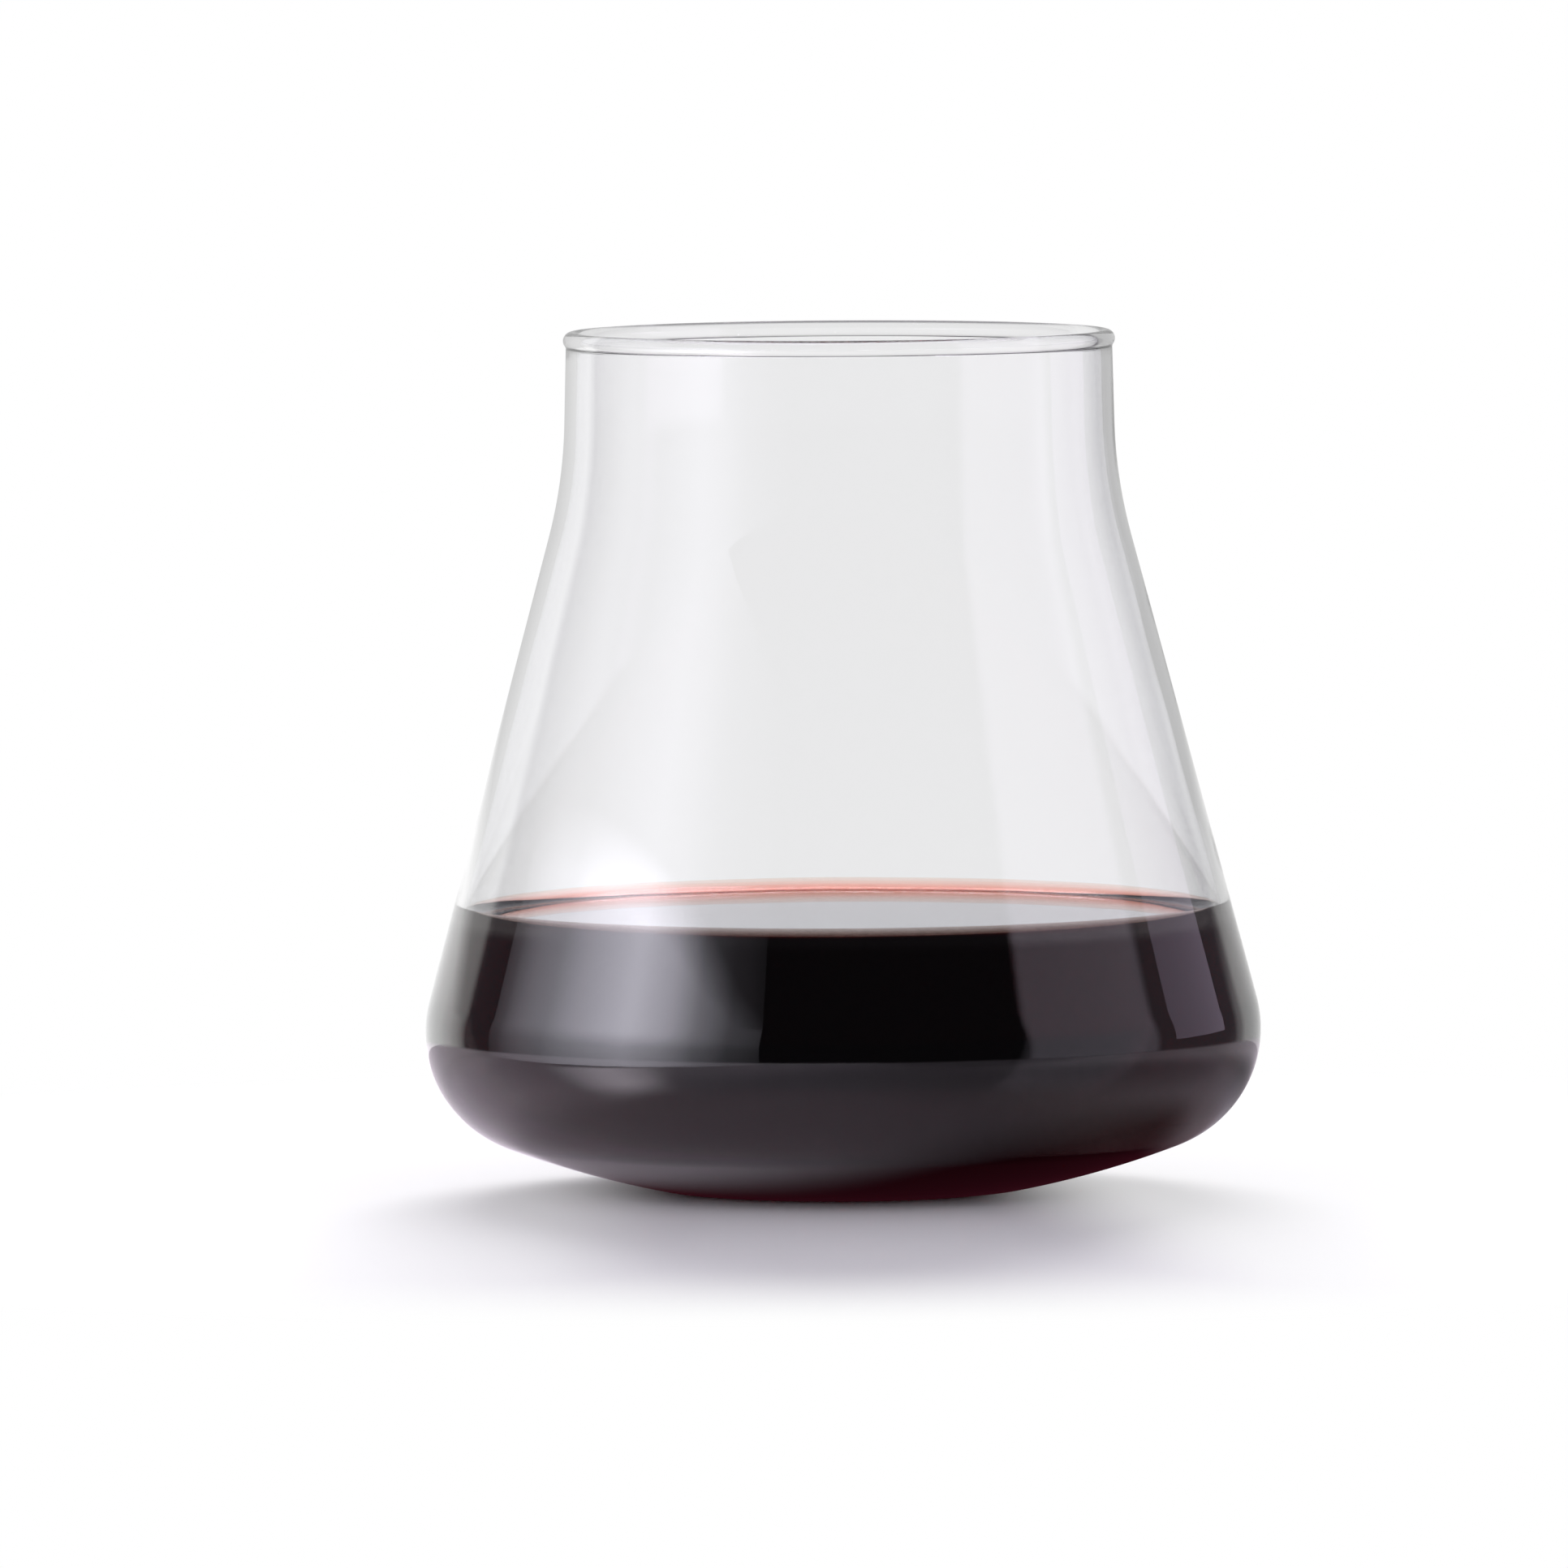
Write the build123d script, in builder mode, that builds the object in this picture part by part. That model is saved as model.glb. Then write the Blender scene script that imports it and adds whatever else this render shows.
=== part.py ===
"""Stemless wine glass holding a pour of red wine.

The glass is one blown piece, turned about the Z axis: a foot ring round a shallow punt, a domed base, a
rounded belly, a straight cone, a hollow curve into the neck, and a fire-polished bead round the rim. The
wine fills the same hollow up to its level and climbs a little way up the wall in a meniscus.

Millimetres and degrees. +Z is up, and the origin is the middle of the foot, on the table.
"""

import os
from math import asin, atan2, cos, degrees, radians, sin, tan

from build123d import *

# Overall sizes of the glass
height = 102.5
belly_diameter = 100.0
mouth_diameter = 65.2  # outside of the neck, at the middle of the rim bead
foot_diameter = 44.0  # outside of the flat ring that meets the table

# Outer profile
neck_length = 17.85  # from the bend at the top of the cone to the rim
neck_taper = 1.4  # how far the neck leans in from upright: it is almost a cylinder
neck_curve_radius = 58.0  # hollow curve between cone and neck
belly_curve_radius = 14.5  # round curve between base and cone
base_curve_radius = 114.0  # shallow dome between foot and belly
foot_edge_radius = 8.0  # softens the outer edge of the foot
punt_diameter = 34.0  # the hollow under the foot, which keeps the glass from rocking
punt_depth = 0.8

# Thickness of the glass
wall_thickness = 1.4
floor_height = 4.2  # lowest point of the floor inside, above the table
floor_curve_radius = 260.0  # flatter than the base, so the glass thickens towards the middle
inner_belly_radius = 13.5

# Rim bead
bead_proud = 0.35  # how far the bead swells out of the wall, inside and outside
bead_blend_radius = 0.5  # hollow blend under it

# Wine
wine_level = 32.5  # height of the flat surface above the table
meniscus_rise = 2.1
meniscus_width = 1.9

# Places that follow from the sizes
belly_radius = belly_diameter / 2
foot_radius = foot_diameter / 2
bead_radius = wall_thickness / 2 + bead_proud
bead_height = height - bead_radius
base_start_angle = asin(foot_radius / base_curve_radius)
base_end_angle = asin((belly_radius - belly_curve_radius) / (base_curve_radius - belly_curve_radius))
base_start = Vector(cos(base_start_angle), sin(base_start_angle))
belly_centre = Vector(
    belly_radius - belly_curve_radius,
    base_curve_radius * cos(base_start_angle)
    - (base_curve_radius - belly_curve_radius) * cos(base_end_angle),
)

# The side runs straight from the bend under the neck down to where it grazes the round of the belly
neck_lean = radians(neck_taper)
neck_top = Vector(mouth_diameter / 2, bead_height)
neck_bend = Vector(neck_top.X + (neck_length - bead_radius) * tan(neck_lean), height - neck_length)
bend_to_belly = belly_centre - neck_bend
cone_lean = atan2(bend_to_belly.X, -bend_to_belly.Y) + asin(belly_curve_radius / bend_to_belly.length)
cone_slope = tan(cone_lean)
cone_normal = Vector(cos(cone_lean), sin(cone_lean))

# The inside of the wall bends with the outside, one wall thickness away from both of its straights
middle_lean = (cone_lean + neck_lean) / 2
bend_thickness = wall_thickness / cos((cone_lean - neck_lean) / 2)
inner_bend = neck_bend - Vector(cos(middle_lean), sin(middle_lean)) * bend_thickness
inner_neck_top = neck_top - Vector(wall_thickness / cos(neck_lean), 0)

# Outside of the glass, half of its section: x is the radius, y the height
with BuildSketch(Plane.XZ) as outer_outline:
    with BuildLine():
        punt = TangentArc((0, punt_depth), (punt_diameter / 2, 0), tangent=(1, 0))
        foot = Line(punt @ 1, (foot_radius, 0))
        base_turn = degrees(base_end_angle - base_start_angle)
        base = JernArc(foot @ 1, base_start, base_curve_radius, base_turn)
        belly_turn = 90 + degrees(cone_lean - base_end_angle)
        belly = JernArc(base @ 1, base % 1, belly_curve_radius, belly_turn)
        cone_foot = belly @ 1
        side = FilletPolyline(cone_foot, neck_bend, neck_top, radius=neck_curve_radius)
        Polyline(side @ 1, (0, bead_height), punt @ 0)
    make_face()
    fillet(outer_outline.vertices().group_by(Axis.Y)[0].sort_by(Axis.X)[-1], foot_edge_radius)

# Hollow of the glass, up to the middle of the rim bead
with BuildSketch(Plane.XZ) as hollow_outline:
    with BuildLine():
        inner_cone_foot = cone_foot - cone_normal * wall_thickness
        inner_cone_low = Vector(inner_cone_foot.X + inner_cone_foot.Y * cone_slope, 0)
        inner_side = FilletPolyline(
            inner_cone_low, inner_bend, inner_neck_top, radius=neck_curve_radius + wall_thickness
        )
        Polyline(inner_side @ 1, (0, bead_height), (0, 0), inner_side @ 0)
    make_face()
    with Locations((0, floor_height + floor_curve_radius)):
        Circle(floor_curve_radius, mode=Mode.INTERSECT)
    fillet(hollow_outline.vertices().sort_by(Axis.X)[-1], inner_belly_radius)

# Glass: the wall between the two outlines, with the bead melted round its top
with BuildPart() as glass_bowl:
    with BuildSketch(Plane.XZ) as wall_section:
        add(outer_outline.sketch_local)
        add(hollow_outline.sketch_local, mode=Mode.SUBTRACT)
        with Locations((neck_top + inner_neck_top) / 2):
            Circle(bead_radius)
        below_bead = wall_section.vertices().filter_by_position(
            Axis.Y, 0, bead_height, inclusive=(True, False)
        )
        fillet(below_bead.sort_by(Axis.Y)[-2:], bead_blend_radius)
    revolve(axis=Axis.Z)

# Wine: the bottom of the hollow, under a flat surface that curls up where it wets the wall
with BuildPart() as wine:
    with BuildSketch(Plane.XZ):
        add(hollow_outline.sketch_local)
        wet_height = wine_level + meniscus_rise
        wet_radius = inner_cone_foot.X - (wet_height - inner_cone_foot.Y) * cone_slope
        with BuildLine():
            surface = Line((0, wine_level), (wet_radius - meniscus_width, wine_level))
            meniscus = TangentArc(surface @ 1, (wet_radius, wet_height), tangent=surface % 1)
            Polyline(meniscus @ 1, (belly_radius, wet_height), (belly_radius, 0), (0, 0), surface @ 0)
        make_face(mode=Mode.INTERSECT)
    revolve(axis=Axis.Z)

glass_bowl.part.label = "glass_bowl"
wine.part.label = "wine"

os.makedirs("parts", exist_ok=True)
export_step(glass_bowl.part, "parts/glass_bowl.step")
export_step(wine.part, "parts/wine.step")

# Volumes, to compare with what such a glass holds
with BuildPart() as brimful:
    add(hollow_outline.sketch)
    revolve(axis=Axis.Z)

for name, measured in (("glass", glass_bowl), ("wine", wine), ("brimful", brimful)):
    print(name, round(measured.part.volume / 1000, 1), "ml")
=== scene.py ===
# %% [markdown]
# # A stemless wine glass with a pour of red wine
#
# The packed CAD model is the frame: it says where the glass and the wine are and how big they are. Here
# both get a finer surface to bend light through, a finish, and a small studio to stand in.

# %% Load the frame
from math import acos, asin, atan2, copysign, cos, degrees, pi, radians, sin, tan, tau

import bmesh
import bpy
from mathutils import Matrix, Vector


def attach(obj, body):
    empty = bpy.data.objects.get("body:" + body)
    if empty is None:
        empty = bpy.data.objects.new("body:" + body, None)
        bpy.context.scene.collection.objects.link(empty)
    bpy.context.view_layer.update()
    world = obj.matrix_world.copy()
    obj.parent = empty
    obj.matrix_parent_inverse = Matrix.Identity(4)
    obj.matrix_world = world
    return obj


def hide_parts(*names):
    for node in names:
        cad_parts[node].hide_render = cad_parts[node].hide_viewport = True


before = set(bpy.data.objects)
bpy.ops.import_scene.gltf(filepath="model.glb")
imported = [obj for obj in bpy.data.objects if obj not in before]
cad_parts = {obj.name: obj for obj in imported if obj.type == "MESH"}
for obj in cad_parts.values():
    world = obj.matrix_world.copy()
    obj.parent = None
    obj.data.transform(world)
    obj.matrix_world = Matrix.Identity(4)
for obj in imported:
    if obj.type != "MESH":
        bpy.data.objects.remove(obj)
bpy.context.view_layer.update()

# %% [markdown]
# ## Camera
#
# A wide lens close by could frame the glass, but it would look steeply into the mouth. A long lens far away
# keeps the rim and the foot nearly flat ovals. So the camera stands 2.3 m off and 190 mm above the table
# and looks down by about 4 degrees: just enough to see the top of the wine. It is rolled by a third of a
# degree, because the glass leans a little to the left in the picture.

# %% Camera
mm = 0.001
eye = Vector((-6.87 * mm, -2.285, 190 * mm))
aim = Vector((-6.87 * mm, 0, 48.3 * mm))
roll = Matrix.Rotation(radians(-0.34), 3, "Z").to_quaternion()

camera = bpy.data.objects.new("camera", bpy.data.cameras.new("camera"))
bpy.context.collection.objects.link(camera)
camera.location = eye
camera.rotation_mode = "QUATERNION"
camera.rotation_quaternion = (aim - eye).to_track_quat("-Z", "Y") @ roll
camera.data.sensor_width = 36
camera.data.lens = 439.7
camera.data.clip_end = 20
bpy.context.scene.camera = camera
print("camera looks down by", round(degrees(asin((eye - aim).z / (eye - aim).length)), 2), "degrees")

# %% [markdown]
# ## A template for turning
#
# Glass and wine are both turned shapes, so half of the section is all that has to be drawn. It could be
# typed in as a list of points, but then each curve has to be worked out by hand. Instead a pen draws it:
# the pen goes straight on, or bends with a radius by an angle. A bend is a small spin of the last vertex,
# so it always leaves the line before it without a kink, as a curve on blown glass does.

# %% The pen
class Template:
    """Half of a section in the plane y = 0, drawn from its first point by a pen with a heading."""

    def __init__(self, radius, height):
        self.mesh = bmesh.new()
        self.tip = self.mesh.verts.new((radius, 0, height))
        self.heading = 0.0  # from outwards, turning towards up

    def line_to(self, point):
        grown = bmesh.ops.extrude_vert_indiv(self.mesh, verts=[self.tip])
        self.tip = grown["verts"][0]
        bmesh.ops.translate(self.mesh, verts=[self.tip], vec=Vector(point) - self.tip.co)

    def straight(self, length, steps):
        stride = Vector((cos(self.heading), 0, sin(self.heading))) * (length / steps)
        for _ in range(steps):
            self.line_to(self.tip.co + stride)

    def bend(self, radius, turn, steps):
        """Left for a positive turn, right for a negative one."""
        left = Vector((-sin(self.heading), 0, cos(self.heading)))
        centre = self.tip.co + left * copysign(radius, turn)
        swept = bmesh.ops.spin(
            self.mesh, geom=[self.tip], cent=centre, axis=(0, -1, 0), angle=turn, steps=steps, use_merge=False
        )
        self.tip = next(g for g in swept["geom_last"] if isinstance(g, bmesh.types.BMVert))
        self.heading += turn


print("the pen can", [word for word in vars(Template) if not word.startswith("_")])

# %% [markdown]
# ## Turning
#
# A full spin about the upright axis makes the body, as a lathe does. A Screw modifier would do the same,
# but the spin gives a finished mesh at once. Where the outline touches the axis, the spin leaves a heap of
# vertices in one place. They are merged, and then the faces are told which way is out, so that light bends
# the right way.

# %% The lathe
def turned(template, name, around=256):
    """Spins the template about the upright axis into a closed body."""
    mesh = template.mesh
    bmesh.ops.spin(
        mesh, geom=mesh.verts[:] + mesh.edges[:], cent=(0, 0, 0), axis=(0, 0, 1), angle=tau, steps=around,
        use_merge=True,
    )
    bmesh.ops.remove_doubles(mesh, verts=mesh.verts, dist=0.001 * mm)
    bmesh.ops.recalc_face_normals(mesh, faces=mesh.faces)
    for face in mesh.faces:
        face.smooth = True
    body = bpy.data.meshes.new(name)
    mesh.to_mesh(body)
    open_edges = sum(not edge.is_manifold for edge in mesh.edges)
    volume = mesh.calc_volume()
    mesh.free()
    body.set_sharp_from_angle(angle=radians(40))
    piece = bpy.data.objects.new(name, body)
    bpy.context.collection.objects.link(piece)
    print(name, len(body.polygons), "faces,", open_edges, "open edges,", round(volume * 1e6, 2), "ml")
    return piece


# %% [markdown]
# ## Sizes of the glass
#
# These are the sizes that the CAD model is built from. The side is a straight cone, and its lean isn't a
# size of its own: it follows from the neck above it and the round belly below, which it has to graze.

# %% Sizes
height = 102.5 * mm
mouth_radius = 32.6 * mm
belly_radius = 50 * mm
foot_radius = 22 * mm
wall = 1.4 * mm

neck_length = 17.85 * mm
neck_lean = radians(1.4)
neck_curve = 58 * mm
belly_curve = 14.5 * mm
base_curve = 114 * mm
foot_round = 8 * mm
punt_radius = 17 * mm
punt_depth = 0.8 * mm

bead_radius = 1.05 * mm
bead_blend = 0.5 * mm
floor_height = 4.2 * mm
floor_curve = 260 * mm
inner_belly_curve = 13.5 * mm
print("glass", round(height / mm, 1), "mm tall and", round(2 * belly_radius / mm, 1), "mm wide")

# %% The lean of the side
base_centre = (base_curve**2 - foot_radius**2) ** 0.5
base_end = asin((belly_radius - belly_curve) / (base_curve - belly_curve))
belly_height = base_centre - (base_curve - belly_curve) * cos(base_end)
belly_centre = Vector((belly_radius - belly_curve, belly_height))
neck_top = Vector((mouth_radius, height - bead_radius))
neck_bend = Vector((mouth_radius + (neck_length - bead_radius) * tan(neck_lean), height - neck_length))
drop = belly_centre - neck_bend
cone_lean = atan2(drop.x, -drop.y) + asin(belly_curve / drop.length)
cone_out = Vector((cos(cone_lean), sin(cone_lean)))
print("the side leans in by", round(degrees(cone_lean), 2), "degrees")

# %% [markdown]
# ## The glass
#
# A blown glass is one piece with no edge anywhere: foot, base, belly, side, neck and a rim that was melted
# into a bead. A thin shell with a Solidify modifier would have the same thickness all over, but a blown
# base is thicker than the side. So the pen draws both faces: it starts under the foot, draws the outside,
# goes round the bead and comes back down the inside. The bead swells out of the wall on both sides, so a
# small hollow bend leads into it and another out of it.

# %% Places on the outside
punt_curve = (punt_radius**2 + punt_depth**2) / (2 * punt_depth)
foot_turn = acos((base_centre - foot_round) / (base_curve - foot_round))
foot_flat = (base_curve - foot_round) * sin(foot_turn) - punt_radius
cone_foot = belly_centre + cone_out * belly_curve
half_bend = (cone_lean - neck_lean) / 2
neck_setback = neck_curve * tan(half_bend)  # from the corner back to where its curve starts
bead_reach = ((bead_radius + bead_blend) ** 2 - (wall / 2 + bead_blend) ** 2) ** 0.5
bead_turn = acos((wall / 2 + bead_blend) / (bead_radius + bead_blend))
bead_skew = wall / 2 * tan(neck_lean)
print("flat of the foot", round(foot_flat / mm, 2), "mm wide")

# %% Places on the inside
inner_curve = neck_curve + wall
inner_setback = inner_curve * tan(half_bend)
middle_lean = (cone_lean + neck_lean) / 2
inner_bend = neck_bend - Vector((cos(middle_lean), sin(middle_lean))) * (wall / cos(half_bend))
inner_neck_top = neck_top - Vector((wall / cos(neck_lean), 0))

# The round inside the belly touches the cone on one side and the floor on the other
floor_centre = Vector((0, floor_height + floor_curve))
floor_to_round = floor_curve - inner_belly_curve
inner_cone = cone_out.dot(cone_foot) - wall
cone_to_round = inner_cone - inner_belly_curve - cone_out.dot(floor_centre)
floor_turn = cone_lean - acos(cone_to_round / floor_to_round) + pi / 2
inner_round_centre = floor_centre + Vector((sin(floor_turn), -cos(floor_turn))) * floor_to_round
inner_cone_foot = inner_round_centre + cone_out * inner_belly_curve
print("the floor inside turns up by", round(degrees(floor_turn), 2), "degrees")

# %% Draw the glass
# The last number of each stretch is how many short edges it is made of
outline = Template(0, punt_depth)
outline.bend(punt_curve, -asin(punt_radius / punt_curve), 8)
outline.heading = 0
outline.straight(foot_flat, 3)
outline.bend(foot_round, foot_turn, 8)
outline.bend(base_curve, base_end - foot_turn, 12)
outline.bend(belly_curve, pi / 2 + cone_lean - base_end, 36)
outline.straight((neck_bend - cone_foot).length - neck_setback, 14)
outline.bend(neck_curve, neck_lean - cone_lean, 12)
outline.straight((neck_top - neck_bend).length - neck_setback - bead_reach + bead_skew, 6)
outline.bend(bead_blend, -bead_turn, 6)
outline.bend(bead_radius, pi + 2 * bead_turn, 32)
outline.bend(bead_blend, -bead_turn, 6)
outline.straight((inner_neck_top - inner_bend).length - inner_setback - bead_reach - bead_skew, 6)
outline.bend(inner_curve, cone_lean - neck_lean, 12)
outline.straight((inner_bend - inner_cone_foot).length - inner_setback, 14)
outline.bend(inner_belly_curve, floor_turn - pi / 2 - cone_lean, 32)
outline.bend(floor_curve, -floor_turn, 16)
pen_off, pen_height = outline.tip.co.x / mm, outline.tip.co.z / mm
print("the pen ends", round(pen_off, 4), "mm off the axis at", round(pen_height, 3), "mm")

# %% Turn the glass
glass = turned(outline, "glass_bowl_clear")
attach(glass, "root")
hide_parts("glass_bowl")

# %% [markdown]
# ## The wine
#
# Wine wets the glass, so its edge climbs the wall in a small hollow curve, the meniscus. That thin edge is
# where its colour shows best. Here it climbs 1.5 mm, a little less than in the CAD model, because the near
# edge then looks as crisp as on the real glass. A copy of the glass's inside would touch it face to face,
# and the render couldn't tell which of the two comes first. So the body of wine is drawn 0.05 mm into the
# wall: a ray that goes from glass into wine then meets both surfaces and bends as it does in a full glass,
# with no film of air between.

# %% Draw the wine
wine_level = 32.5 * mm
meniscus_rise = 1.5 * mm
meniscus_width = 1.35 * mm
into_wall = 0.05 * mm

wet_height = wine_level + meniscus_rise
wet_radius = inner_cone_foot.x - (wet_height - inner_cone_foot.y) * tan(cone_lean)
meniscus_curve = (meniscus_width**2 + meniscus_rise**2) / (2 * meniscus_rise)
meniscus_turn = 2 * atan2(meniscus_rise, meniscus_width)
level_edge = wet_radius - meniscus_width

pour = Template(0, floor_height - into_wall)
pour.bend(floor_curve + into_wall, floor_turn, 16)
pour.bend(inner_belly_curve + into_wall, pi / 2 + cone_lean - floor_turn, 32)
pour.line_to((wet_radius + into_wall / cos(cone_lean), 0, wet_height))
pour.line_to((wet_radius, 0, wet_height))
pour.heading = pi + meniscus_turn
pour.bend(meniscus_curve, -meniscus_turn, 32)
pour.straight(level_edge, 8)
print("the wine wets the glass up to", round(wet_height / mm, 2), "mm")

# %% Turn the wine
wine = turned(pour, "wine_pour")
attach(wine, "root")
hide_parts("wine")

# %% [markdown]
# ## Words for a recipe
#
# A finish is a recipe of nodes. Each node has sockets, and a socket takes a number, a colour or another
# node's output. They could be set and linked by hand in the shader editor, but a script that does the same
# line by line hides what the nodes are for. So a recipe adds a node and fills its sockets in one go.

# %% Recipe
class Recipe:
    """The nodes of one finish, added one at a time."""

    def __init__(self, tree):
        self.tree = tree

    def fill(self, socket, amount):
        """An output is linked to the socket, and anything else is set on it."""
        if isinstance(amount, bpy.types.NodeSocket):
            self.tree.links.new(amount, socket)
        else:
            socket.default_value = amount

    def node(self, kind, amounts=None, **settings):
        """A node with its settings, and amounts for its sockets by name or number."""
        made = self.tree.nodes.new(kind)
        for name, setting in settings.items():
            setattr(made, name, setting)
        for socket, amount in (amounts or {}).items():
            self.fill(made.inputs[socket], amount)
        return made


print("a recipe can", [word for word in vars(Recipe) if not word.startswith("_")])

# %% [markdown]
# ## Ripple
#
# What tells blown glass from a perfect lens is a faint ripple, a few hundredths of a millimetre high, which
# makes the edges of reflections waver, and a haze so thin that it only takes the last sharpness from them.
# Moving the vertices could make the ripple, but it is finer than the mesh. So it is a bump, made once in a
# node group, because the wine that lies against the wall uses it too.

# %% Ripple, a node group
ripple = bpy.data.node_groups.new("blown_ripple", "ShaderNodeTree")
ripple.interface.new_socket("Position", in_out="INPUT", socket_type="NodeSocketVector")
waves_socket = ripple.interface.new_socket("Waves per metre", in_out="INPUT", socket_type="NodeSocketFloat")
waves_socket.default_value = 70.0
ripple.interface.new_socket("Height", in_out="OUTPUT", socket_type="NodeSocketFloat")
ripple.interface.new_socket("Haze", in_out="OUTPUT", socket_type="NodeSocketFloat")

recipe = Recipe(ripple)
given = recipe.node("NodeGroupInput").outputs
position, waves_per_metre = given["Position"], given["Waves per metre"]
wave = recipe.node(
    "ShaderNodeTexNoise", {"Vector": position, "Scale": waves_per_metre, "Detail": 1.0, "Roughness": 0.4}
)
haze = recipe.node("ShaderNodeTexNoise", {"Vector": position, "Scale": 35.0, "Detail": 3.0})
recipe.node("NodeGroupOutput", {"Height": wave.outputs["Fac"], "Haze": haze.outputs["Fac"]})
print("group", ripple.name, "holds", len(ripple.nodes), "nodes")

# %% [markdown]
# ## Clear glass
#
# Soda-lime glass bends light by an index of about 1.52 and is almost colourless. A see-through mix of
# shaders could stand in for it, but only full transmission bends the light as a thick base does. The ripple
# goes into the normal and its haze into the roughness, from none up to two hundredths.

# %% Clear glass, the material
def start_finish(name):
    """A new material, its recipe and the sockets of its surface."""
    finish = bpy.data.materials.new(name)
    finish.use_nodes = True
    return finish, Recipe(finish.node_tree), finish.node_tree.nodes["Principled BSDF"].inputs


def add_ripple(recipe, surface, waves, ripple_height, roughest):
    """Object position into the ripple group, its height into the normal, its haze into the roughness."""
    place = recipe.node("ShaderNodeTexCoord").outputs["Object"]
    rippled = recipe.node("ShaderNodeGroup", node_tree=ripple)
    recipe.fill(rippled.inputs["Position"], place)
    recipe.fill(rippled.inputs["Waves per metre"], waves)
    height_in = {"Strength": 1.0, "Distance": ripple_height, "Height": rippled.outputs["Height"]}
    recipe.fill(surface["Normal"], recipe.node("ShaderNodeBump", height_in).outputs["Normal"])
    haze_in = {"Value": rippled.outputs["Haze"], "From Min": 0.35, "From Max": 0.75, "To Max": roughest}
    recipe.fill(surface["Roughness"], recipe.node("ShaderNodeMapRange", haze_in).outputs["Result"])
    return place


clear_glass, recipe, surface = start_finish("clear_glass")
recipe.fill(surface["Base Color"], (0.98, 0.98, 0.984, 1))
recipe.fill(surface["IOR"], 1.52)
recipe.fill(surface["Transmission Weight"], 1.0)
add_ripple(recipe, surface, waves=70.0, ripple_height=0.05 * mm, roughest=0.02)
glass.data.materials.append(clear_glass)
print("finish", clear_glass.name, "with", len(clear_glass.node_tree.nodes), "nodes")

# %% [markdown]
# ## Red wine
#
# Red wine is clear, and its colour comes from how far light travels in it: a millimetre lets orange and
# pink through, a centimetre a deep red, and the width of a glass nothing. A dark surface colour alone would
# be as dark at the thin edge as in the middle. A volume that absorbs does exactly what wine does. The
# surface colour only leans the same way: deep red all over, and paler along the thin edge.

# %% Red wine, the material
red_wine, recipe, surface = start_finish("red_wine")
recipe.fill(surface["IOR"], 1.345)
recipe.fill(surface["Transmission Weight"], 1.0)
place = add_ripple(recipe, surface, waves=70.0, ripple_height=0.01 * mm, roughest=0.02)

edge_depth = 1.5 * mm
deep_red, thin_red = (0.2, 0.006, 0.013, 1), (1.0, 0.95, 0.92, 1)
wine_height = recipe.node("ShaderNodeSeparateXYZ", {"Vector": place}).outputs["Z"]
thin_edge = recipe.node(
    "ShaderNodeMapRange",
    {"Value": wine_height, "From Min": wine_level - edge_depth, "From Max": wine_level},
    interpolation_type="SMOOTHSTEP",
)
tint_in = {"Factor": thin_edge.outputs["Result"], "A": deep_red, "B": thin_red}
tint = recipe.node("ShaderNodeMix", tint_in, data_type="RGBA")
recipe.fill(surface["Base Color"], tint.outputs["Result"])

depth = recipe.node("ShaderNodeVolumeAbsorption", {"Color": (0.93, 0.22, 0.0, 1), "Density": 1250.0})
recipe.fill(red_wine.node_tree.nodes["Material Output"].inputs["Volume"], depth.outputs["Volume"])
wine.data.materials.append(red_wine)
print("finish", red_wine.name, "with", len(red_wine.node_tree.nodes), "nodes")

# %% [markdown]
# ## Floor
#
# The glass stands on a white table with no edge. A curved sweep of paper would do in a studio, but the
# camera looks along it for metres, and its far end would shade to grey. So the floor is a disc a hair below
# the foot, and its material says how white each part of it is.

# %% The disc
sheet = bmesh.new()
bmesh.ops.create_circle(sheet, cap_ends=True, segments=128, radius=700 * mm)
bmesh.ops.translate(sheet, verts=sheet.verts, vec=(0, 0, -0.1 * mm))
floor = bpy.data.objects.new("floor", bpy.data.meshes.new("floor"))
sheet.to_mesh(floor.data)
sheet.free()
bpy.context.collection.objects.link(floor)
print("floor", round(floor.dimensions.x, 2), "m across")

# %% [markdown]
# ## Sums for the studio
#
# The floor and the room are drawn with fades: nothing up to one place, then smoothly up to all at another.
# Fades multiply where both have to hold, and the larger one wins where one is enough. An image painted by
# hand could hold the same shades, but numbers are easier to change, and smooth at any size. Each sum is a
# node, and short names for them keep the recipe readable.

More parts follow.
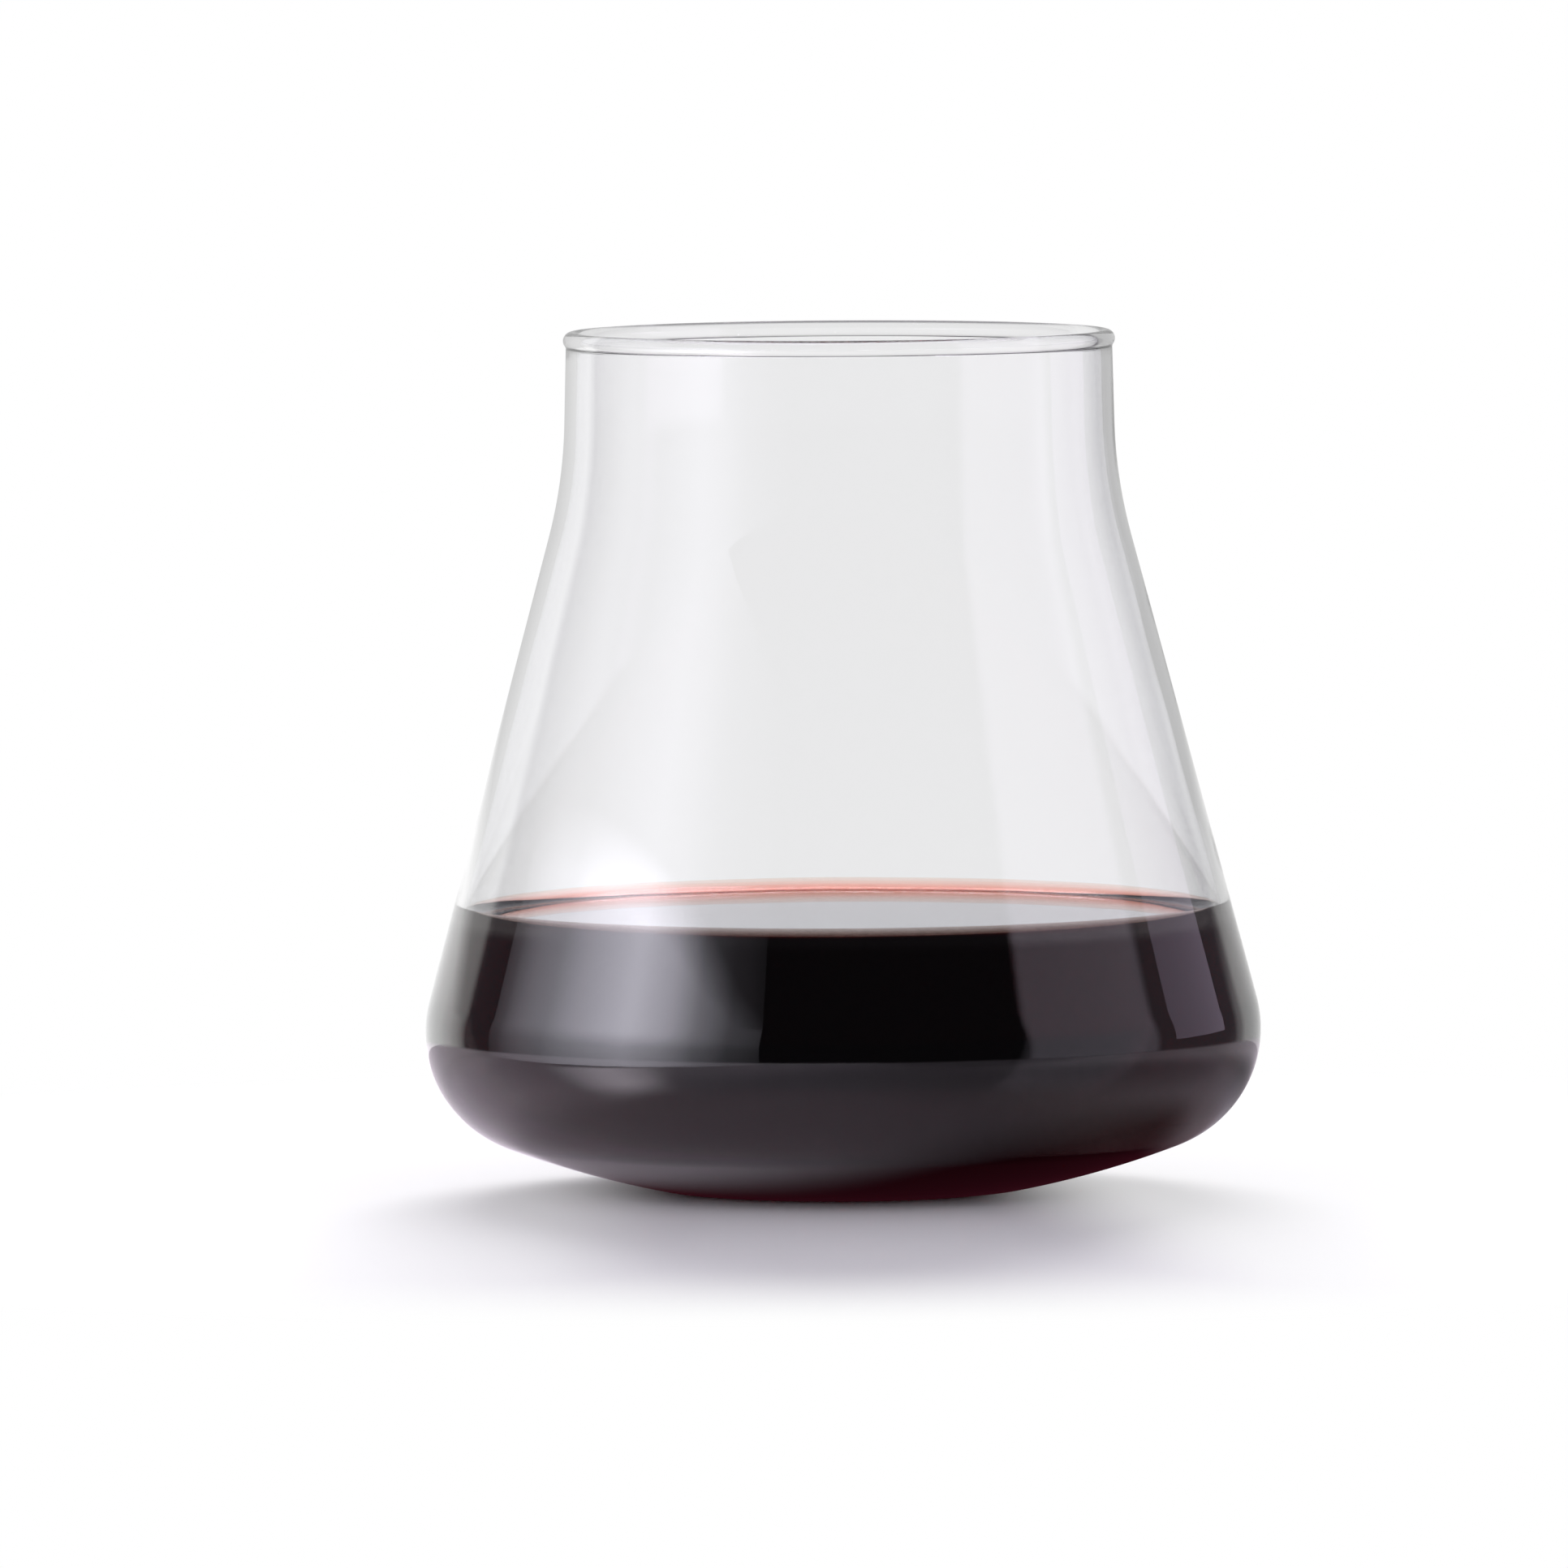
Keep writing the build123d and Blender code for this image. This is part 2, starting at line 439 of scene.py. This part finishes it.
# %% A recipe with sums
class StudioRecipe(Recipe):
    """A recipe that can also add, multiply, fade and blend."""

    def work_out(self, operation, *amounts):
        return self.node("ShaderNodeMath", dict(enumerate(amounts)), operation=operation).outputs["Value"]

    def times(self, first, *others):
        for other in others:
            first = self.work_out("MULTIPLY", first, other)
        return first

    def plus(self, first, *others):
        for other in others:
            first = self.work_out("ADD", first, other)
        return first

    def less(self, first, second):
        return self.work_out("SUBTRACT", first, second)

    def rest_of(self, share):
        return self.less(1.0, share)

    def larger(self, first, second):
        return self.work_out("MAXIMUM", first, second)

    def over(self, amount, limit):
        """1 above the limit, and otherwise 0."""
        return self.work_out("GREATER_THAN", amount, limit)

    def fade(self, amount, start, end):
        """0 up to start, then smoothly to 1 at end."""
        ends = {"Value": amount, "From Min": start, "From Max": end}
        return self.node("ShaderNodeMapRange", ends, interpolation_type="SMOOTHSTEP").outputs["Result"]

    def measure(self, operation, first, second):
        """One number from two places: their distance or their dot product."""
        return self.node("ShaderNodeVectorMath", {0: first, 1: second}, operation=operation).outputs["Value"]

    def blend(self, share, first, second, blend_type="MIX"):
        """The first colour, and with a growing share the second."""
        colours = {"Factor": share, "A": first, "B": second}
        return self.node("ShaderNodeMix", colours, data_type="RGBA", blend_type=blend_type).outputs["Result"]

    def glow(self, colour, strength):
        light = {"Color": colour, "Strength": strength}
        return self.node("ShaderNodeEmission", light).outputs["Emission"]

    def background(self, colour, strength):
        light = {"Color": colour, "Strength": strength}
        return self.node("ShaderNodeBackground", light).outputs["Background"]

    def either(self, share, first, second):
        """The first shader, and with a growing share the second."""
        return self.node("ShaderNodeMixShader", {0: share, 1: first, 2: second}).outputs["Shader"]

    def both(self, first, second):
        return self.node("ShaderNodeAddShader", {0: first, 1: second}).outputs["Shader"]


print("a studio recipe can also", [word for word in vars(StudioRecipe) if not word.startswith("_")])

# %% [markdown]
# ## Who looks
#
# Clear glass and dark wine show the studio in three ways: straight, bent through the glass, and mirrored.
# The Light Path node tells these rays apart. A ray that was mirrored has a Glossy Depth of at least 1. A
# ray through one wall has a Transmission Depth of 2, one for each face of the wall, and a ray right across
# the glass has more.

# %% Ways of looking
def ways_of_looking(recipe):
    """The Light Path's outputs, and 1 or 0 for rays that are mirrored, cross the glass, or pass one wall."""
    path = recipe.node("ShaderNodeLightPath").outputs
    mirrored = recipe.over(path["Glossy Depth"], 0.5)
    crossing = recipe.over(path["Transmission Depth"], 2.5)
    one_wall = recipe.larger(recipe.less(path["Is Transmission Ray"], crossing), 0.0)
    return path, mirrored, crossing, one_wall


floor_paint = bpy.data.materials.new("floor_paint")
floor_paint.use_nodes = True
floor_paint.node_tree.nodes.clear()
paint = StudioRecipe(floor_paint.node_tree)
path, mirrored, _, one_wall = ways_of_looking(paint)
through = path["Is Transmission Ray"]

place = paint.node("ShaderNodeTexCoord").outputs["Object"]
axes = paint.node("ShaderNodeSeparateXYZ", {"Vector": place}).outputs
rightward, backward = axes["X"], axes["Y"]
leftward = paint.times(rightward, -1.0)
from_middle = paint.measure("DISTANCE", place, (0, 0, 0))
print("the floor knows its rays and places with", len(floor_paint.node_tree.nodes), "nodes")

# %% [markdown]
# ## The floor as it is seen
#
# Close to the glass the floor is matt paint and keeps the shadow. Further out a white glow takes over from
# the shading, so that the table has no end, and beside the shadow it is already half way there, a painted
# light over part of the shade. A strength of 1 is white, so nothing gets more light for it. A wall of glass
# takes away some light, so through one wall the glow is weaker, and the floor behind the glass gets a
# painted shade, which draws the far line of the rim.

# %% Paint and white
# Painted shade: through one wall of glass the floor behind it is painted grey and its white glow dimmed
matt_white, painted_shade_grey = (0.95, 0.95, 0.95, 1), (0.3, 0.3, 0.3, 1)
behind_glass = paint.less(paint.fade(backward, 15 * mm, 35 * mm), paint.fade(from_middle, 120 * mm, 200 * mm))
painted_shade_behind = paint.times(paint.larger(behind_glass, 0.0), one_wall)
seen_paint = paint.blend(painted_shade_behind, matt_white, painted_shade_grey)

wall_loss, painted_shade_loss = 0.12, 0.45
white_level = paint.rest_of(paint.times(one_wall, wall_loss))
white_level = paint.less(white_level, paint.times(painted_shade_behind, painted_shade_loss))
white = paint.glow((1, 1, 1, 1), white_level)

# Painted light: beside the shadow the white glow lightens part of the shade, more at the right
half_white_right, half_white_left = 0.57, 0.3
skewed = paint.plus(paint.times(backward, 0.15), rightward)
beside_right = paint.times(paint.fade(skewed, 11 * mm, 35 * mm), half_white_right)
beside_left = paint.times(paint.fade(leftward, 18 * mm, 40 * mm), half_white_left)
beside = paint.larger(beside_right, beside_left)
looks = paint.larger(path["Is Camera Ray"], through)
white_from = 185 * mm
whiter = paint.times(looks, paint.larger(beside, paint.fade(from_middle, 105 * mm, white_from)))
print("the floor is white from", round(white_from / mm), "mm on")

# %% [markdown]
# ## The floor in reflections
#
# The lower belly of a full glass is a dark mirror, and what it mirrors is the table round its foot: in the
# shade of the glass, dim towards the right, and lit again at the left and the back. Screens and lamps could
# shade the table like this, but they would also change the shadow that the camera sees. So these shades are
# painted, and only mirrored rays meet them. Part of them is painted shade on the paint, which still shows
# the real shadow too, and part a low even glow, which is painted light.

# %% Painted shade that only reflections see
shade_centre = (19 * mm, 0, 0)
from_shade = paint.measure("DISTANCE", place, shade_centre)
lit = paint.times(paint.fade(from_shade, 30 * mm, 48 * mm), paint.fade(from_middle, 22 * mm, 34 * mm))
shade = paint.rest_of(lit)
at_back = paint.fade(backward, 15 * mm, 50 * mm)
at_left = paint.fade(leftward, -80 * mm, 20 * mm)
# Painted shade in the paint: black under the glass and at the back, dimmer at the right, paler at the left
black, painted_shade_plum, painted_light_plum = (0, 0, 0, 1), (0.18, 0.155, 0.18, 1), (0.65, 0.585, 0.65, 1)
lit_paint = paint.blend(at_left, painted_shade_plum, painted_light_plum)
painted_shade_in_mirrors = paint.blend(paint.times(lit, paint.rest_of(at_back)), black, lit_paint)
print("shades for reflections, with", len(floor_paint.node_tree.nodes), "nodes so far")

# %% A painted glow that only reflections see
# Painted light: a glow on the floor for mirrored rays, held back in the painted shade, with a glint at its
# right end
near_level = paint.plus(paint.times(paint.fade(leftward, -50 * mm, 20 * mm), 0.1), 0.14)
far_right = paint.times(paint.fade(from_middle, 90 * mm, 150 * mm), paint.fade(rightward, 20 * mm, 70 * mm))
far_right = paint.times(far_right, paint.fade(backward, -125 * mm, -75 * mm), 0.35)
far_left = paint.times(paint.fade(backward, 0.0, 70 * mm), paint.fade(leftward, 20 * mm, 70 * mm), 0.2)
back_level = paint.times(paint.plus(paint.times(at_left, 0.42), 0.1), at_back)
spread = paint.times(paint.plus(near_level, far_right, far_left, back_level), lit)
right_end = paint.times(paint.fade(rightward, 36 * mm, 52 * mm), paint.fade(backward, -20 * mm, 0.0))
spread = paint.plus(spread, paint.times(right_end, shade, 0.25))
print("a low glow, with", len(floor_paint.node_tree.nodes), "nodes so far")

# %% [markdown]
# ## A painted streak of light and a painted ruby glow
#
# At the front left the belly mirrors a streak of light that is painted on the table and widens as it
# leaves the glass. A spot lamp could throw it, but the camera would see it too. Two directions measure it
# instead: how far along the streak a point is, and how far off its line. Under the glass a faint ruby glow
# is painted into the shade, for light that came through the wine.

# %% Painted streak of light and ruby glow
streak_start = Vector((-49 * mm, -54 * mm, 0))
streak_way, streak_side = Vector((-0.96, -0.28, 0)), Vector((0.28, -0.96, 0))
streak_half_width, streak_doubles_in = 16 * mm, 30 * mm
streak_level, painted_ruby_level = 3.0, 0.036

along = paint.less(paint.measure("DOT_PRODUCT", place, streak_way), streak_start.dot(streak_way))
off = paint.less(paint.measure("DOT_PRODUCT", place, streak_side), streak_start.dot(streak_side))
widening = paint.plus(paint.times(paint.larger(along, 0.0), 1 / streak_doubles_in), 1.0)
off_line = paint.work_out("DIVIDE", paint.work_out("ABSOLUTE", off), widening)
ends = paint.less(paint.fade(along, -12 * mm, 10 * mm), paint.fade(along, 44 * mm, 62 * mm))
streak = paint.times(paint.rest_of(paint.fade(off_line, 0.0, streak_half_width)), ends, streak_level)

# Painted light on the floor: the glow with its streak, and a ruby glow in the shade under the glass
spill = paint.glow((1.0, 0.9, 1.01, 1), paint.times(paint.plus(spread, streak), mirrored))
painted_ruby_glow = paint.glow((1.0, 0.13, 0.26, 1), paint.times(shade, painted_ruby_level, mirrored))
print("the streak starts", round(streak_start.length / mm), "mm from the middle of the foot")

# %% [markdown]
# ## The floor put together
#
# Paint or white by place, the paint by who looks, and the glows on top. Far out the floor is clear air for
# mirrored rays, so that the glass can mirror the walls and the cards right down to their lower ends. The
# floor could simply be smaller, but then its edge would show in the glass.

# %% Put the floor together
colour = paint.blend(mirrored, seen_paint, painted_shade_in_mirrors)
matt = paint.node("ShaderNodeBsdfDiffuse", {"Color": colour}).outputs["BSDF"]
lit_floor = paint.both(paint.either(whiter, matt, white), paint.both(spill, painted_ruby_glow))
from_within = paint.times(through, paint.fade(from_middle, 50 * mm, 70 * mm))
gone = paint.times(mirrored, paint.larger(from_within, paint.fade(from_middle, 185 * mm, 235 * mm)))
clear_air = paint.node("ShaderNodeBsdfTransparent").outputs["BSDF"]
paint.node("ShaderNodeOutputMaterial", {"Surface": paint.either(gone, lit_floor, clear_air)})
floor.data.materials.append(floor_paint)
print("finish", floor_paint.name, "with", len(floor_paint.node_tree.nodes), "nodes")

# %% [markdown]
# ## Studio walls
#
# Clear glass and dark wine show hardly anything but what stands round them, so the room is built for its
# reflections. Real panels would have to be placed, lit and kept out of the picture one by one. A world
# background does it with one colour ramp round the horizon: a white backdrop behind the glass, dark on the
# camera's side, and a panel at the right. A bearing is counted from the camera, to the right, and made to
# run from 0 to 1.

# %% Walls
def ramp(recipe, amount, stops):
    """A run of levels: each stop is a position from 0 to 1, a level and a tint."""
    made = recipe.node("ShaderNodeValToRGB", {"Fac": amount})
    elements = made.color_ramp.elements
    while len(elements) < len(stops):
        elements.new(0.5)
    for element, (position, level, tint) in zip(elements, stops):
        element.position = position
        element.color = (level * tint[0], level * tint[1], level * tint[2], 1)
    return made.outputs["Color"]


world = bpy.data.worlds.new("studio")
bpy.context.scene.world = world
world.use_nodes = True
world.node_tree.nodes.clear()
room = StudioRecipe(world.node_tree)
path, mirrored, crossing, one_wall = ways_of_looking(room)
through = path["Is Transmission Ray"]
direction = room.node("ShaderNodeTexCoord").outputs["Generated"]
axes = room.node("ShaderNodeSeparateXYZ", {"Vector": direction}).outputs
rightward, backward, upward = axes["X"], axes["Y"], axes["Z"]
bearing = room.work_out("ARCTAN2", rightward, room.times(backward, -1.0))
round_room = room.plus(room.times(bearing, 1 / tau), 0.5)

paper, plum = (1.0, 1.0, 1.0), (1.0, 0.91, 1.08)
wall_stops = [
    (-180, 0.75, paper), (-165, 0.78, paper), (-152, 0.88, paper), (-131, 0.9, paper), (-128, 0.12, plum),
    (-112, 0.12, plum), (-108, 0.15, plum), (-30, 0.08, plum), (-24, 0.04, plum), (52, 0.04, plum),
    (54, 0.72, plum), (96, 0.8, plum), (98, 0.2, plum), (143, 0.12, plum), (147, 0.58, paper),
    (170, 0.64, paper), (180, 0.75, paper),
]
walls = ramp(room, round_room, [(degree / 360 + 0.5, level, tint) for degree, level, tint in wall_stops])
print("walls in", len(wall_stops), "stops round the room")

# %% [markdown]
# ## Walls in the glass
#
# Seen right across the glass, the backdrop is paler and a little brighter than in a plain reflection, and
# below the horizon on the camera's side there is only the dark. The ceiling is dimmer than the walls. Rays
# that are mirrored inside the glass and leave upwards meet a bright panel, which puts light into the thin
# edge of the wine. One background could do without all this, but then the glass would look flat at its
# edges.

# %% Levels of the walls
pale_paper = (0.95, 0.95, 1.0, 1)
paleness = room.times(crossing, room.fade(backward, 0.0, 0.3), 0.65)
wall_colour = room.blend(paleness, walls, pale_paper)

plain_level, crossing_level, panel_level = 0.85, 0.3, 22.0
wall_level = room.plus(room.times(crossing, crossing_level), plain_level)
sinking = room.fade(room.times(upward, -1.0), 0.05, 0.15)
to_camera = room.rest_of(room.fade(backward, -0.1, 0.2))
wall_level = room.times(wall_level, room.rest_of(room.times(crossing, sinking, to_camera)))
ceiling = room.times(room.fade(upward, 0.5, 0.85), 0.6)
wall_level = room.times(wall_level, room.rest_of(ceiling))
inside_glass = room.times(room.over(path["Transmission Depth"], 1.5), mirrored)
panel = room.times(inside_glass, room.fade(upward, 0.65, 0.85), panel_level)
wall_level = room.plus(wall_level, panel)
wall_light = room.background(wall_colour, wall_level)
print("levels of the walls, with", len(world.node_tree.nodes), "nodes so far")

# %% [markdown]
# ## Light on the floor
#
# Only the floor is matt here, so its light can be set apart from the reflections. A bright window high
# behind the glass is the key, and throws the shadow towards the camera. A low band all round fills it with
# a cool light. Area lamps could do the same, but a background needs no aiming, and its edges can be as soft
# as the shadow asks.

# %% Window and band
window_level, band_level, night_level = 34.0, 1.8, 0.1
sideways = room.work_out("ABSOLUTE", rightward)
window = room.times(room.fade(backward, 0.3, 0.5), room.rest_of(room.fade(sideways, 0.12, 0.36)))
window = room.times(window, room.fade(upward, 0.24, 0.34), room.rest_of(room.fade(upward, 0.48, 0.62)))
band = room.less(room.fade(upward, 0.05, 0.25), room.fade(upward, 0.4, 0.65))
band = room.plus(room.times(band, band_level), night_level)
daylight = room.plus(room.times(window, window_level), band)
hue = room.blend(window, (0.985, 0.945, 1.05, 1), (1.0, 1.0, 1.0, 1))
floor_light = room.background(hue, daylight)
print("window and band, with", len(world.node_tree.nodes), "nodes so far")

# %% [markdown]
# ## White background
#
# The camera sees plain white, straight and through the glass, where a strength of 1 is white and one wall
# takes away a little. A white screen behind the glass could be that background, but it would also light the
# glass. Only rays that the glass bends well aside see the walls instead: they draw the grey lines along its
# edges.

# %% Put the world together
one_wall_loss = 0.08
white_level = room.rest_of(room.times(one_wall, one_wall_loss))
white_light = room.background((1, 1, 1, 1), white_level)

looked_at = room.rest_of(room.over(path["Diffuse Depth"], 0.5))
unmirrored = room.times(through, room.rest_of(mirrored))
not_aside = room.larger(room.rest_of(room.fade(backward, 0.4, 0.6)), room.fade(backward, 0.8, 0.97))
sees_white = room.larger(path["Is Camera Ray"], room.times(unmirrored, looked_at, not_aside))
in_glass = room.times(room.larger(path["Is Glossy Ray"], through), looked_at)
shown = room.either(sees_white, room.either(in_glass, floor_light, wall_light), white_light)
room.node("ShaderNodeOutputWorld", {"Surface": shown})
print("world", world.name, "with", len(world.node_tree.nodes), "nodes")

# %% [markdown]
# ## Cards
#
# Stripes of light on the belly say how round it is. In a studio a softbox and reflector cards make them.
# Glowing planes could too, but they would cover what stands behind them. An area lamp adds its light to it,
# and is hidden from the camera, from matt surfaces and from rays through the glass, so that it shows in
# reflections only. Ramps across the lamp's own face give the cloth its shades.

# %% A card
def card(name, centre, facing, width, height, level):
    """A glowing card that shows in reflections only: its recipe, its sockets, and places across and up it."""
    lamp = bpy.data.objects.new(name, bpy.data.lights.new(name, "AREA"))
    bpy.context.collection.objects.link(lamp)
    lamp.data.shape = "RECTANGLE"
    lamp.data.size = width
    lamp.data.size_y = height
    lamp.data.energy = level * pi * width * height
    lamp.location = centre
    lamp.rotation_mode = "QUATERNION"
    lamp.rotation_quaternion = Vector(facing).to_track_quat("-Z", "Y")
    lamp.visible_camera = False
    lamp.visible_transmission = False
    lamp.visible_diffuse = False
    lamp.data.use_nodes = True
    lamp.data.node_tree.nodes.clear()
    cloth = StudioRecipe(lamp.data.node_tree)
    glow = cloth.node("ShaderNodeEmission")
    cloth.node("ShaderNodeOutputLight", {"Surface": glow.outputs["Emission"]})
    face = cloth.node("ShaderNodeNewGeometry").outputs["Parametric"]
    place = cloth.node("ShaderNodeSeparateXYZ", {"Vector": face}).outputs
    print("card", name, "at", [round(x / mm) for x in lamp.location], "mm")
    return cloth, glow.inputs, place["X"], place["Y"]


def grey_ramp(recipe, amount, stops):
    return ramp(recipe, amount, [(position, level, paper) for position, level in stops])


# %% [markdown]
# ## Softbox at the left
#
# It makes the broad stripe of light on the left of the wine. A real softbox is brightest in the middle and
# darker towards its rim, and above the wine its light has to be weak, because the glass there is clear. A
# flat card would give a stripe with hard, even edges, so both ways across the cloth get a ramp.

# %% Softbox
softbox_foot, softbox_top = -45 * mm, 125 * mm
softbox_place = (-110 * mm, -67 * mm, (softbox_foot + softbox_top) / 2)
softbox_width, softbox_level = 217 * mm, 9.5
cloth, glow, along_card, up_card = card(
    "softbox_left", softbox_place, (0.883, 0.469, 0), softbox_width, softbox_top - softbox_foot, softbox_level
)
cloth_shade = grey_ramp(cloth, along_card, [
    (0.0, 0.03), (0.074, 0.06), (0.143, 0.126), (0.309, 0.305), (0.429, 0.63), (0.571, 1.0), (0.668, 0.74),
    (0.767, 0.3), (0.878, 0.098), (1.0, 0.05),
])
cool = (0.985, 0.96, 1.09, 1)
cloth.fill(glow["Color"], cloth.blend(1.0, cloth_shade, cool, blend_type="MULTIPLY"))
up_stops = [(0.265, 0.4), (0.418, 0.58), (0.53, 0.97), (0.675, 1.0), (0.73, 0.22), (1.0, 0.2)]
cloth.fill(glow["Strength"], grey_ramp(cloth, up_card, up_stops))

# %% [markdown]
# ## Two reflector cards
#
# A small card at the right makes the dim stripe beside the edge of the wine, and a plain colour is enough
# for it. A long low card behind the glass is mirrored all along the belly's outer edge, and brightens
# towards the right. It reaches below the floor, because the floor is clear air there for mirrored rays.

# %% Reflector cards
card_right_place = (177 * mm, 43 * mm, 79 * mm)
cloth, glow, *_ = card("card_right", card_right_place, (-0.875, -0.485, 0), 76 * mm, 120 * mm, 0.62)
cloth.fill(glow["Color"], (1.0, 0.84, 1.12, 1))

low_left, low_right = -242 * mm, 200 * mm
low_foot, low_top = -46 * mm, 56 * mm
low_place = ((low_left + low_right) / 2, 150 * mm, (low_foot + low_top) / 2)
cloth, glow, along_card, up_card = card(
    "low_card_back", low_place, (0, -1, 0), low_right - low_left, low_top - low_foot, 1.0
)
cloth.fill(glow["Color"], grey_ramp(cloth, along_card, [
    (0.0, 0.0), (0.045, 0.3), (0.339, 0.3), (0.566, 0.6), (0.706, 0.76), (0.792, 0.9), (0.871, 0.74),
    (0.955, 0.33), (1.0, 0.0),
]))
cloth.fill(glow["Strength"], grey_ramp(cloth, up_card, [(0.0, 1.0), (0.86, 1.0), (1.0, 0.0)]))

# %% [markdown]
# ## Finish
#
# Standard view, so that colours come out as they were written, and more bounces than usual, because a ray
# crosses up to a dozen surfaces in a glass of wine.

# %% Settings
scene = bpy.context.scene
scene.view_settings.view_transform = "Standard"
scene.cycles.max_bounces = 32
scene.cycles.transmission_bounces = 32
scene.cycles.glossy_bounces = 16
